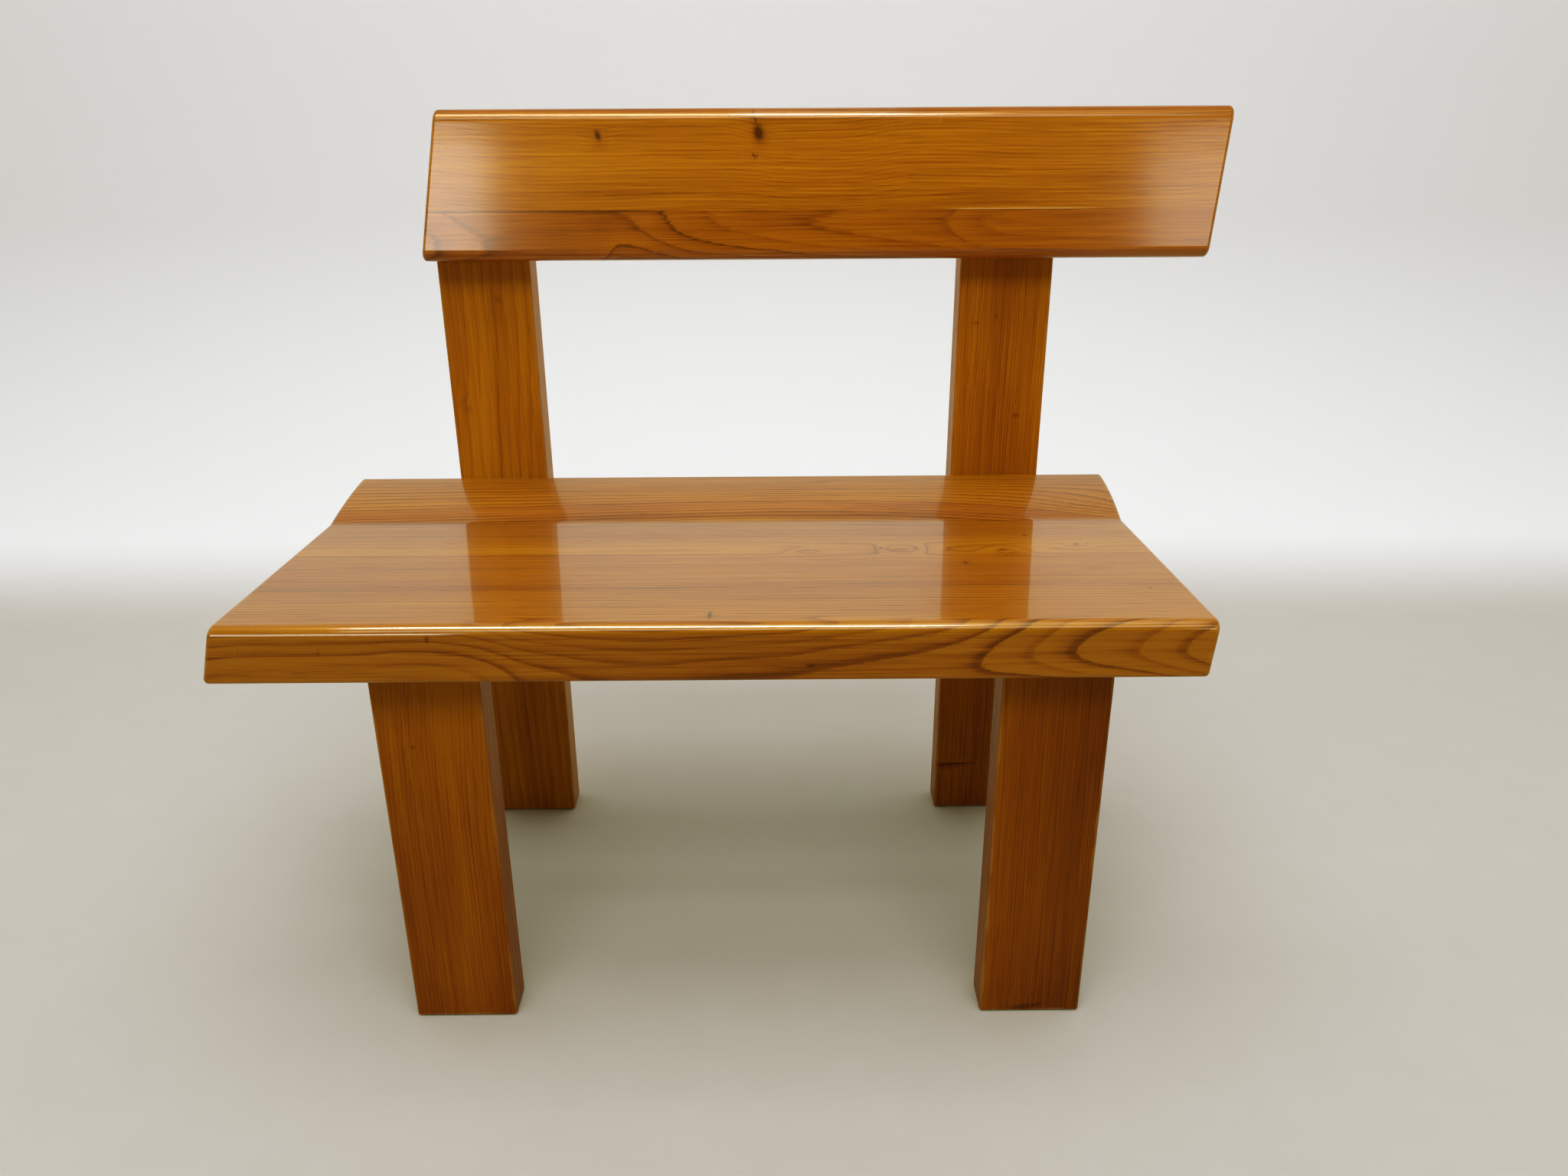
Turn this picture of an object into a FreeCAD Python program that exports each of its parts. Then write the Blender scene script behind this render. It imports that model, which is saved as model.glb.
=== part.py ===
import FreeCAD, Part
import Sketcher
import math
import os

# A wooden bench with a backrest: a hollowed seat of two glued boards on two
# front legs and two rear posts, with a leaning backrest of two glued boards.
# Millimetres. +X to the sitter's left hand as seen from the front (viewer's
# right), -Y the front, +Z up. Origin on the floor, at the centre of the
# bench's footprint.

os.makedirs("parts", exist_ok=True)
doc = FreeCAD.newDocument("bench")
Vec = FreeCAD.Vector

# ---------------------------------------------------------------- dimensions
DIMENSIONS = [
    # legs and posts
    ("leg_width", 100), ("leg_depth", 40),
    ("left_leg_x", -356), ("right_leg_x", 210),
    ("front_leg_y", -188), ("post_y", 187),
    ("leg_arris", 3), ("foot_chamfer", 1), ("post_rise", 62),
    # foot pads
    ("pad_thickness", 1.5), ("pad_inset", 2.5), ("pad_corner", 4),
    # seat section
    ("seat_front_y", -227), ("seat_rear_y", 187), ("seat_seam_y", 74),
    ("seat_under_z", 394), ("seat_valley_z", 432.8), ("seat_fall", 2.68),
    ("nose_round", 10), ("under_round", 5),
    ("valley_round", 25), ("rise_angle", 17), ("rise_round", 420),
    ("seat_rear_round", 7),
    # seat ends, which slant in the front view
    ("seat_left_x", -468.5), ("seat_left_slope", 0.25),
    ("seat_right_x", 383), ("seat_right_slope", 0.09),
    ("seat_end_z", 446), ("seat_end_round", 4),
    # backrest
    ("back_thickness", 40), ("back_height", 150), ("back_seam", 49),
    ("back_lean", 8), ("back_base_z", 692.7),
    ("back_left_x", -360.6), ("back_left_slope", 0.16),
    ("back_right_x", 464.3), ("back_right_slope", 0.111),
    ("back_end_z", 701.27),
    ("back_top_round", 13), ("back_bottom_round", 11),
    ("back_rear_round", 5), ("back_end_round", 4),
    # bearers under the seat
    ("bearer_width", 30), ("bearer_height", 55), ("bearer_arris", 3),
    ("tenon_width", 18), ("tenon_height", 40), ("tenon_length", 22),
    ("mortise_gap", 0.2),
    # dowels
    ("dowel_diameter", 10), ("dowel_length", 60), ("dowel_z", 414),
    ("leg_dowel_length", 50), ("leg_dowel_spread", 30),
    ("back_dowel_diameter", 8), ("back_dowel_length", 50),
    ("hole_gap", 0.2), ("dowel_chamfer", 1),
    # screws up through the bearers
    ("screw_diameter", 5), ("screw_head", 10), ("screw_head_depth", 4),
    ("seat_screw_seat_z", 366), ("seat_screw_tip_z", 418),
    ("counterbore", 12.2),
    # screws through the posts into the backrest
    ("back_screw_seat_y", 216.5), ("back_screw_tip_y", 171.5),
    ("back_screw_low", 13), ("back_screw_high", 36),
    ("post_screw_spread", 28), ("plug_diameter", 12), ("plug_length", 6),
    # screws through the posts into the seat
    ("bolt_diameter", 6), ("bolt_head", 12), ("bolt_head_depth", 4.5),
    ("bolt_seat_y", 215), ("bolt_tip_y", 145), ("bolt_z", 422),
    ("bolt_counterbore", 14.2), ("bolt_plug_diameter", 14),
    ("bolt_plug_length", 7),
]
sheet = doc.addObject("Spreadsheet::Sheet", "dims")
for row, (alias, value) in enumerate(DIMENSIONS, start=1):
    sheet.set("A%d" % row, alias)
    sheet.set("B%d" % row, str(value))
    sheet.setAlias("B%d" % row, alias)
doc.recompute()


class Size:
    """A size worked out from the sheet: its value, and the same as an expression."""

    def __init__(self, value, text):
        self.value = float(value)
        self.text = text

    def __add__(self, other):
        other = as_size(other)
        return Size(self.value + other.value, "(%s + %s)" % (self.text, other.text))

    __radd__ = __add__

    def __sub__(self, other):
        other = as_size(other)
        return Size(self.value - other.value, "(%s - %s)" % (self.text, other.text))

    def __rsub__(self, other):
        return as_size(other) - self

    def __mul__(self, other):
        other = as_size(other)
        return Size(self.value * other.value, "(%s * %s)" % (self.text, other.text))

    __rmul__ = __mul__

    def __truediv__(self, other):
        other = as_size(other)
        return Size(self.value / other.value, "(%s / %s)" % (self.text, other.text))

    def __neg__(self):
        return Size(-self.value, "(0 - %s)" % self.text)


def as_size(x):
    return x if isinstance(x, Size) else Size(x, "(0 - %r)" % -float(x) if x < 0 else "%r" % float(x))


def dim(alias):
    return Size(float(sheet.get(alias)), "dims.%s" % alias)


def sine(a):
    return Size(math.sin(math.radians(a.value)), "sin(%s * 1 deg)" % a.text)


def cosine(a):
    return Size(math.cos(math.radians(a.value)), "cos(%s * 1 deg)" % a.text)


def tangent(a):
    return Size(math.tan(math.radians(a.value)), "tan(%s * 1 deg)" % a.text)


def root(a):
    return Size(math.sqrt(a.value), "sqrt(%s)" % a.text)


# ------------------------------------------------------------ sketch helpers
def new_body(name, many=False):
    body = doc.addObject("PartDesign::Body", name)
    body.Label = name
    if many:
        body.AllowCompound = True
    return body


def new_sketch(body, name, role, at=None, tilt=None):
    sk = body.newObject("Sketcher::SketchObject", name)
    face = [f for f in body.Origin.OriginFeatures if f.Role == role][0]
    sk.AttachmentSupport = [(face, "")]
    sk.MapMode = "FlatFace"
    # offset along the plane's normal: +X for YZ, -Y for XZ, +Z for XY
    if at is not None:
        at = as_size(at)
        along = -at if role == "XZ_Plane" else at
        sk.setExpression("AttachmentOffset.Base.z", along.text)
    if tilt is not None:
        y, angle = tilt
        sk.AttachmentOffset = FreeCAD.Placement(Vec(0, y.value, as_size(at).value), FreeCAD.Rotation(Vec(1, 0, 0), -angle.value))
        sk.setExpression("AttachmentOffset.Base.y", y.text)
        sk.setExpression("AttachmentOffset.Rotation.Angle", (-angle).text)
    return sk


def lock(sk, geo, pos, x, y):
    for kind, v in (("DistanceX", as_size(x)), ("DistanceY", as_size(y))):
        n = sk.addConstraint(Sketcher.Constraint(kind, -1, 1, geo, pos, v.value))
        sk.setExpression("Constraints[%d]" % n, v.text)


def set_radius(sk, geo, r):
    r = as_size(r)
    n = sk.addConstraint(Sketcher.Constraint("Radius", geo, r.value))
    sk.setExpression("Constraints[%d]" % n, r.text)


def outline(sk, steps):
    """A closed outline. Each step is (x, y) or (x, y, radius, bulge): the way
    to that point from the one before is a line, or an arc with that radius
    whose middle lies to the left (bulge +1) or right (-1) of the way."""
    pts = [(as_size(s[0]), as_size(s[1])) for s in steps]
    geos, ends = [], []
    for i, s in enumerate(steps):
        (ax, ay), (bx, by) = pts[i - 1], pts[i]
        a, b = Vec(ax.value, ay.value, 0), Vec(bx.value, by.value, 0)
        if len(s) == 2:
            g = sk.addGeometry(Part.LineSegment(a, b), False)
            geos.append(g)
            ends.append((1, 2))
        else:
            r, bulge = as_size(s[2]).value, s[3]
            chord = b - a
            left = Vec(-chord.y, chord.x, 0).normalize()
            hub = (a + b) * 0.5 - left * (bulge * math.sqrt(max(r * r - chord.Length ** 2 / 4, 0)))
            # the sketch keeps arcs anticlockwise
            first, last = (a, b) if bulge < 0 else (b, a)
            a0 = math.atan2(first.y - hub.y, first.x - hub.x)
            a1 = math.atan2(last.y - hub.y, last.x - hub.x)
            if a1 < a0:
                a1 += 2 * math.pi
            g = sk.addGeometry(Part.ArcOfCircle(Part.Circle(hub, Vec(0, 0, 1), r), a0, a1), False)
            geos.append(g)
            ends.append((1, 2) if bulge < 0 else (2, 1))
    n = len(geos)
    for i in range(n):
        j = (i + 1) % n
        sk.addConstraint(Sketcher.Constraint("Coincident", geos[i], ends[i][1], geos[j], ends[j][0]))
    for i, s in enumerate(steps):
        lock(sk, geos[i], ends[i][1], s[0], s[1])
        if len(s) > 2:
            set_radius(sk, geos[i], s[2])
    return geos


def rectangle(sk, x, y, w, h):
    x, y = as_size(x), as_size(y)
    return outline(sk, [(x, y), (x + w, y), (x + w, y + h), (x, y + h)])


def circles(sk, points, diameter):
    r = as_size(diameter) / 2
    for x, y in points:
        x, y = as_size(x), as_size(y)
        g = sk.addGeometry(Part.Circle(Vec(x.value, y.value, 0), Vec(0, 0, 1), r.value), False)
        lock(sk, g, 3, x, y)
        set_radius(sk, g, r)


def pad(body, sk, name, length, reverse=False):
    f = body.newObject("PartDesign::Pad", name)
    f.Profile = sk
    length = as_size(length)
    f.Length = length.value
    f.setExpression("Length", length.text)
    f.Reversed = reverse
    doc.recompute()
    return f


def pocket(body, sk, name, length, least):
    """A pocket, turned to the side where it takes material; it has to take
    at least the volume given."""
    before = body.Shape.Volume
    f = body.newObject("PartDesign::Pocket", name)
    f.Profile = sk
    length = as_size(length)
    f.Length = length.value
    f.setExpression("Length", length.text)
    doc.recompute()
    if before - body.Shape.Volume < least:
        f.Reversed = True
        doc.recompute()
    taken = before - body.Shape.Volume
    if taken < least:
        raise ValueError("%s %s takes %.1f of %.1f mm3" % (body.Name, name, taken, least))
    return f


def end_pocket(body, sk, name, reach, least):
    """A pocket through the whole board both ways from its sketch."""
    before = body.Shape.Volume
    f = body.newObject("PartDesign::Pocket", name)
    f.Profile = sk
    f.Length = as_size(reach).value
    f.setExpression("Length", as_size(reach).text)
    f.Midplane = True
    doc.recompute()
    taken = before - body.Shape.Volume
    if taken < least:
        raise ValueError("%s %s takes %.1f of %.1f mm3" % (body.Name, name, taken, least))
    return f


def dress(body, kind, name, pick, size):
    """Rounds or bevels every edge of the body's tip that pick() accepts."""
    tip = body.Tip
    names = ["Edge%d" % (i + 1) for i, e in enumerate(tip.Shape.Edges) if pick(e)]
    if not names:
        raise ValueError("%s %s finds no edge" % (body.Name, name))
    f = body.newObject("PartDesign::" + kind, name)
    f.Base = (tip, names)
    prop = "Radius" if kind == "Fillet" else "Size"
    setattr(f, prop, as_size(size).value)
    f.setExpression(prop, as_size(size).text)
    doc.recompute()
    return f


def points_of(edge):
    a, b = edge.FirstParameter, edge.LastParameter
    return [edge.valueAt(a), edge.valueAt((a + b) / 2), edge.valueAt(b)]


def drill(body, name, role, at, points, diameter, depth, tilt=None):
    sk = new_sketch(body, name + "_sketch", role, at, tilt)
    circles(sk, points, diameter)
    area = math.pi * as_size(diameter).value ** 2 / 4
    return pocket(body, sk, name, depth, 0.97 * area * as_size(depth).value * len(points))


# ------------------------------------------------------------- shared places
leg_width, leg_depth = dim("leg_width"), dim("leg_depth")
hole_gap = dim("hole_gap")
under_z = dim("seat_under_z")
legs_x = {"left": dim("left_leg_x"), "right": dim("right_leg_x")}
middle = {side: x + leg_width / 2 for side, x in legs_x.items()}
lean = dim("back_lean")
base_y, base_z = dim("post_y"), dim("back_base_z")
spread = dim("post_screw_spread")

SEAT_DOWELS = [-420, -230, -40, 150, 340]
BACK_DOWELS = [-304, -116, 72, 260, 420]
SEAT_SCREWS = [-90, 20, 130]


def on_back(out, up):
    """A point of the backrest's section: out from its rear face, up the slope."""
    y = base_y - as_size(out) * cosine(lean) + as_size(up) * sine(lean)
    z = base_z + as_size(out) * sine(lean) + as_size(up) * cosine(lean)
    return y, z


def leg_dowel_points(side):
    s = dim("leg_dowel_spread")
    y = dim("front_leg_y") + leg_depth / 2
    return [(middle[side] - s, y), (middle[side] + s, y)]


def back_screw_points(side):
    z1, z2 = base_z + dim("back_screw_low"), base_z + dim("back_screw_high")
    return [(middle[side] + s * spread, z) for s in (-1, 1) for z in (z1, z2)]


def bolt_points(side):
    return [(middle[side] + s * spread, dim("bolt_z")) for s in (-1, 1)]


nodes = []

# ---------------------------------------------------------------- seat boards
fall = dim("seat_fall")
front_y, seam_y, rear_y = dim("seat_front_y"), dim("seat_seam_y"), dim("seat_rear_y")
valley_z = dim("seat_valley_z")
nose = dim("nose_round")
under_r = dim("under_round")
# the top falls from the nose to the seam
nose_top_y = front_y + nose + nose * sine(fall)
nose_top_z = valley_z + (seam_y - nose_top_y) * tangent(fall)
nose_z = nose_top_z - nose * cosine(fall)
# behind the seam it turns up and rounds over to the rear edge
vr, rise, rr, er = dim("valley_round"), dim("rise_angle"), dim("rise_round"), dim("seat_rear_round")
turn_y = seam_y + vr * (sine(fall) + sine(rise))
turn_z = valley_z + vr * (cosine(fall) - cosine(rise))
hub_y, hub_z = turn_y + rr * sine(rise), turn_z - rr * cosine(rise)
edge_y = rear_y - er
edge_z = hub_z + root((rr - er) * (rr - er) - (edge_y - hub_y) * (edge_y - hub_y))
over_y = hub_y + (edge_y - hub_y) * rr / (rr - er)
over_z = hub_z + (edge_z - hub_z) * rr / (rr - er)

SEAT_SECTIONS = {
    "seat_front_board": [
        (seam_y, under_z), (seam_y, valley_z), (nose_top_y, nose_top_z),
        (front_y, nose_z, nose, -1), (front_y, under_z + under_r),
        (front_y + under_r, under_z, under_r, -1),
    ],
    "seat_rear_board": [
        (seam_y, under_z), (rear_y - under_r, under_z),
        (rear_y, under_z + under_r, under_r, -1), (rear_y, edge_z),
        (over_y, over_z, er, -1), (turn_y, turn_z, rr, -1),
        (seam_y, valley_z, vr, 1),
    ],
}


def board_ends(body, left_x, left_slope, right_x, right_slope, ref_z, low, high, y_mid, reach):
    """Cuts both ends of a board on planes that slant in the front view."""
    sk = new_sketch(body, body.Name + "_ends", "XZ_Plane", y_mid)
    for x, slope, far in ((left_x, left_slope, -150), (right_x, right_slope, 150)):
        lo, hi = x + slope * (low - ref_z), x + slope * (high - ref_z)
        way = [(lo, low), (hi, high), (hi + far, high), (lo + far, low)]
        outline(sk, way if far > 0 else way[::-1])
    return end_pocket(body, sk, body.Name + "_end_cut", reach, 100.0)


def end_edges(left_x, left_slope, right_x, right_slope, ref_z, keep):
    """Picks the edges that lie in an end plane, but for those keep() holds back."""
    def pick(e):
        ps = points_of(e)
        for x, slope in ((left_x, left_slope), (right_x, right_slope)):
            if all(abs(p.x - x.value - slope.value * (p.z - ref_z.value)) < 1e-3 for p in ps):
                return not keep(ps)
        return False
    return pick


for name, section in SEAT_SECTIONS.items():
    body = new_body(name)
    sk = new_sketch(body, name + "_section", "YZ_Plane", dim("seat_left_x") - 40)
    outline(sk, section)
    pad(body, sk, name + "_blank", dim("seat_right_x") - dim("seat_left_x") + 80)
    ends = (dim("seat_left_x"), dim("seat_left_slope"), dim("seat_right_x"), dim("seat_right_slope"), dim("seat_end_z"))
    board_ends(body, *ends, under_z - 20, under_z + 80, seam_y, 700)
    dress(body, "Fillet", name + "_end_rounding",
          end_edges(*ends, lambda ps: all(abs(p.y - seam_y.value) < 1e-3 for p in ps)), dim("seat_end_round"))
    # dowel holes in the glued edge
    drill(body, name + "_dowel_holes", "XZ_Plane", seam_y,
          [(x, dim("dowel_z")) for x in SEAT_DOWELS], dim("dowel_diameter") + hole_gap, dim("dowel_length") / 2 + 1)
    # screw holes in the underside, over the bearers
    ys = [y for y in SEAT_SCREWS if (y < seam_y.value) == (name == "seat_front_board")]
    drill(body, name + "_screw_holes", "XY_Plane", under_z,
          [(middle[s], y) for s in ("left", "right") for y in ys],
          dim("screw_diameter") + hole_gap, dim("seat_screw_tip_z") - under_z + 1)
    if name == "seat_front_board":
        drill(body, name + "_leg_dowel_holes", "XY_Plane", under_z,
              leg_dowel_points("left") + leg_dowel_points("right"),
              dim("dowel_diameter") + hole_gap, dim("leg_dowel_length") / 2 + 1)
    else:
        drill(body, name + "_bolt_holes", "XZ_Plane", rear_y,
              bolt_points("left") + bolt_points("right"),
              dim("bolt_diameter") + hole_gap, rear_y - dim("bolt_tip_y") + 1)
    nodes.append(body)

# ------------------------------------------------------------ backrest boards
thick, height, seam_up = dim("back_thickness"), dim("back_height"), dim("back_seam")
tr, br, kr = dim("back_top_round"), dim("back_bottom_round"), dim("back_rear_round")
BACK_SECTIONS = {
    "backrest_lower_board": [
        on_back(0, seam_up), on_back(thick, seam_up), on_back(thick, br),
        on_back(thick - br, 0) + (br, -1), on_back(kr, 0), on_back(0, kr) + (kr, -1),
    ],
    "backrest_upper_board": [
        on_back(0, seam_up), on_back(0, height - kr), on_back(kr, height) + (kr, -1),
        on_back(thick - tr, height), on_back(thick, height - tr) + (tr, -1),
        on_back(thick, seam_up),
    ],
}
for name, section in BACK_SECTIONS.items():
    body = new_body(name)
    sk = new_sketch(body, name + "_section", "YZ_Plane", dim("back_left_x") - 40)
    pts = [s[:2] for s in section]
    # arcs bulge away from the middle of the section
    cy = sum(p[0].value for p in pts) / len(pts)
    cz = sum(p[1].value for p in pts) / len(pts)
    steps = []
    for i, s in enumerate(section):
        if len(s) == 2:
            steps.append(s)
        else:
            a, b = pts[i - 1], pts[i]
            left = ((b[0].value - a[0].value) * (cz - a[1].value) - (b[1].value - a[1].value) * (cy - a[0].value)) > 0
            steps.append((s[0], s[1], s[2], -1 if left else 1))
    outline(sk, steps)
    pad(body, sk, name + "_blank", dim("back_right_x") - dim("back_left_x") + 110)
    ends = (dim("back_left_x"), dim("back_left_slope"), dim("back_right_x"), dim("back_right_slope"), dim("back_end_z"))
    board_ends(body, *ends, base_z - 30, base_z + 180, base_y, 300)
    seam_point = on_back(0, seam_up)
    normal = (math.sin(math.radians(lean.value)), math.cos(math.radians(lean.value)))

    def in_seam(ps, n=normal, at=seam_point):
        return all(abs((p.y - at[0].value) * n[0] + (p.z - at[1].value) * n[1]) < 1e-3 for p in ps)

    dress(body, "Fillet", name + "_end_rounding", end_edges(*ends, in_seam), dim("back_end_round"))
    mid_y, mid_z = on_back(thick / 2, seam_up)
    drill(body, name + "_dowel_holes", "XY_Plane", mid_z, [(x, 0) for x in BACK_DOWELS],
          dim("back_dowel_diameter") + hole_gap, dim("back_dowel_length") / 2 + 1, tilt=(mid_y, lean))
    if name == "backrest_lower_board":
        # drilled level from behind, so the sketch stands just behind the sloping face
        contact = base_y + dim("back_screw_high") * tangent(lean)
        sk = new_sketch(body, name + "_screw_sketch", "XZ_Plane", contact + 4)
        circles(sk, back_screw_points("left") + back_screw_points("right"), dim("screw_diameter") + hole_gap)
        depth = contact + 5 - dim("back_screw_tip_y")
        area = math.pi * (dim("screw_diameter") + hole_gap).value ** 2 / 4
        pocket(body, sk, name + "_screw_holes", depth, 8 * area * (depth.value - 9))
    nodes.append(body)

# ----------------------------------------------------------------- front legs
pad_t = dim("pad_thickness")
tenon_w, tenon_h, tenon_l = dim("tenon_width"), dim("tenon_height"), dim("tenon_length")
tenon_z = under_z - dim("bearer_height") / 2 - tenon_h / 2
gap = dim("mortise_gap")


def mortise(body, side, y):
    sk = new_sketch(body, body.Name + "_mortise_sketch", "XZ_Plane", y)
    rectangle(sk, middle[side] - tenon_w / 2 - gap / 2, tenon_z - gap / 2, tenon_w + gap, tenon_h + gap)
    pocket(body, sk, body.Name + "_mortise", tenon_l + 1, 0.97 * tenon_w.value * tenon_h.value * tenon_l.value)


def upright(e):
    ps = points_of(e)
    return all(math.hypot(p.x - ps[0].x, p.y - ps[0].y) < 1e-6 for p in ps) and abs(ps[2].z - ps[0].z) > 20


for side in ("left", "right"):
    body = new_body("front_%s_leg" % side)
    sk = new_sketch(body, body.Name + "_section", "XY_Plane", pad_t)
    rectangle(sk, legs_x[side], dim("front_leg_y"), leg_width, leg_depth)
    pad(body, sk, body.Name + "_blank", under_z - pad_t)
    dress(body, "Fillet", body.Name + "_arris", upright, dim("leg_arris"))
    dress(body, "Chamfer", body.Name + "_foot", lambda e: all(abs(p.z - pad_t.value) < 1e-6 for p in points_of(e)), dim("foot_chamfer"))
    mortise(body, side, dim("front_leg_y") + leg_depth)
    drill(body, body.Name + "_dowel_holes", "XY_Plane", under_z, leg_dowel_points(side),
          dim("dowel_diameter") + hole_gap, dim("leg_dowel_length") / 2 + 1)
    nodes.append(body)

# ----------------------------------------------------------------- rear posts
for side in ("left", "right"):
    body = new_body("rear_%s_post" % side)
    sk = new_sketch(body, body.Name + "_profile", "YZ_Plane", legs_x[side])
    back_y = base_y + leg_depth
    top_z = base_z + dim("post_rise")
    outline(sk, [(base_y, pad_t), (back_y, pad_t), (back_y, top_z),
                 (base_y + dim("post_rise") * tangent(lean), top_z), (base_y, base_z)])
    pad(body, sk, body.Name + "_blank", leg_width)

    def side_edges(e):
        ps = points_of(e)
        same_x = all(abs(p.x - ps[0].x) < 1e-6 for p in ps)
        return same_x and abs(ps[2].z - ps[0].z) > 20

    dress(body, "Fillet", body.Name + "_arris", side_edges, dim("leg_arris"))
    dress(body, "Chamfer", body.Name + "_ends",
          lambda e: all(abs(p.z - pad_t.value) < 1e-6 for p in points_of(e)) or all(abs(p.z - top_z.value) < 1e-6 for p in points_of(e)),
          dim("foot_chamfer"))
    mortise(body, side, base_y)
    # level holes for the backrest screws, wider behind for the plugs
    drill(body, body.Name + "_plug_holes", "XZ_Plane", back_y, back_screw_points(side), dim("counterbore"), back_y - dim("back_screw_seat_y"))
    sk = new_sketch(body, body.Name + "_screw_sketch", "XZ_Plane", back_y)
    circles(sk, back_screw_points(side), dim("screw_diameter") + hole_gap)
    pocket(body, sk, body.Name + "_screw_holes", leg_depth + 5, 4 * 10 * 20)
    drill(body, body.Name + "_bolt_plug_holes", "XZ_Plane", back_y, bolt_points(side), dim("bolt_counterbore"), back_y - dim("bolt_seat_y"))
    sk = new_sketch(body, body.Name + "_bolt_sketch", "XZ_Plane", back_y)
    circles(sk, bolt_points(side), dim("bolt_diameter") + hole_gap)
    pocket(body, sk, body.Name + "_bolt_holes", leg_depth + 5, 2 * 28 * 25)
    nodes.append(body)

# -------------------------------------------------------------------- bearers
bearer_w, bearer_h = dim("bearer_width"), dim("bearer_height")
leg_back = dim("front_leg_y") + leg_depth
for side in ("left", "right"):
    body = new_body("%s_seat_bearer" % side)
    sk = new_sketch(body, body.Name + "_section", "XZ_Plane", base_y)
    rectangle(sk, middle[side] - bearer_w / 2, under_z - bearer_h, bearer_w, bearer_h)
    pad(body, sk, body.Name + "_blank", base_y - leg_back)
    if abs(body.Shape.BoundBox.YMax - base_y.value) > 0.01:
        raise ValueError("bearer runs the wrong way")
    low = (under_z - bearer_h).value
    dress(body, "Fillet", body.Name + "_arris",
          lambda e: all(abs(p.z - low) < 1e-6 for p in points_of(e)) and e.Length > 100, dim("bearer_arris"))
    for tip_name, at in (("front", leg_back), ("rear", base_y)):
        sk = new_sketch(body, "%s_%s_tenon_sketch" % (body.Name, tip_name), "XZ_Plane", at)
        rectangle(sk, middle[side] - tenon_w / 2, tenon_z, tenon_w, tenon_h)
        pad(body, sk, "%s_%s_tenon" % (body.Name, tip_name), tenon_l, reverse=(tip_name == "rear"))
    drill(body, body.Name + "_counterbores", "XY_Plane", under_z - bearer_h, [(middle[side], y) for y in SEAT_SCREWS],
          dim("counterbore"), dim("seat_screw_seat_z") - under_z + bearer_h)
    sk = new_sketch(body, body.Name + "_screw_sketch", "XY_Plane", under_z)
    circles(sk, [(middle[side], y) for y in SEAT_SCREWS], dim("screw_diameter") + hole_gap)
    pocket(body, sk, body.Name + "_screw_holes", under_z - dim("seat_screw_seat_z") + 1, 3 * 20 * 28)
    nodes.append(body)

# ------------------------------------------------------------------ foot pads
for place, y in (("front", dim("front_leg_y")), ("rear", dim("post_y"))):
    for side in ("left", "right"):
        body = new_body("%s_%s_foot_pad" % (place, side))
        inset, pc = dim("pad_inset"), dim("pad_corner")
        sk = new_sketch(body, body.Name + "_outline", "XY_Plane")
        rectangle(sk, legs_x[side] + inset, y + inset, leg_width - inset * 2, leg_depth - inset * 2)
        pad(body, sk, body.Name + "_felt", pad_t)
        dress(body, "Fillet", body.Name + "_corners",
              lambda e: abs(points_of(e)[2].z - points_of(e)[0].z) > 1, pc)
        nodes.append(body)

# --------------------------------------------------------------------- dowels
def ring_at(value, axis):
    return lambda e: all(abs(getattr(p, axis) - value) < 1e-6 for p in points_of(e))


body = new_body("seat_joint_dowels", many=True)
sk = new_sketch(body, "seat_joint_dowels_sketch", "XZ_Plane", seam_y + dim("dowel_length") / 2)
circles(sk, [(x, dim("dowel_z")) for x in SEAT_DOWELS], dim("dowel_diameter"))
pad(body, sk, "seat_joint_dowels_rods", dim("dowel_length"))
y0, y1 = body.Shape.BoundBox.YMin, body.Shape.BoundBox.YMax
dress(body, "Chamfer", "seat_joint_dowels_ends", lambda e: ring_at(y0, "y")(e) or ring_at(y1, "y")(e), dim("dowel_chamfer"))
nodes.append(body)

for side in ("left", "right"):
    body = new_body("front_%s_leg_dowels" % side, many=True)
    sk = new_sketch(body, body.Name + "_sketch", "XY_Plane", under_z - dim("leg_dowel_length") / 2)
    circles(sk, leg_dowel_points(side), dim("dowel_diameter"))
    pad(body, sk, body.Name + "_rods", dim("leg_dowel_length"))
    z0, z1 = body.Shape.BoundBox.ZMin, body.Shape.BoundBox.ZMax
    dress(body, "Chamfer", body.Name + "_ends", lambda e: ring_at(z0, "z")(e) or ring_at(z1, "z")(e), dim("dowel_chamfer"))
    nodes.append(body)

body = new_body("backrest_joint_dowels", many=True)
low_y, low_z = on_back(thick / 2, seam_up - dim("back_dowel_length") / 2)
sk = new_sketch(body, "backrest_joint_dowels_sketch", "XY_Plane", low_z, tilt=(low_y, lean))
circles(sk, [(x, 0) for x in BACK_DOWELS], dim("back_dowel_diameter"))
pad(body, sk, "backrest_joint_dowels_rods", dim("back_dowel_length"))
dress(body, "Chamfer", "backrest_joint_dowels_ends", lambda e: len(e.Vertexes) == 1 and e.Curve.TypeId == "Part::GeomCircle", dim("dowel_chamfer"))
nodes.append(body)

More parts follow.
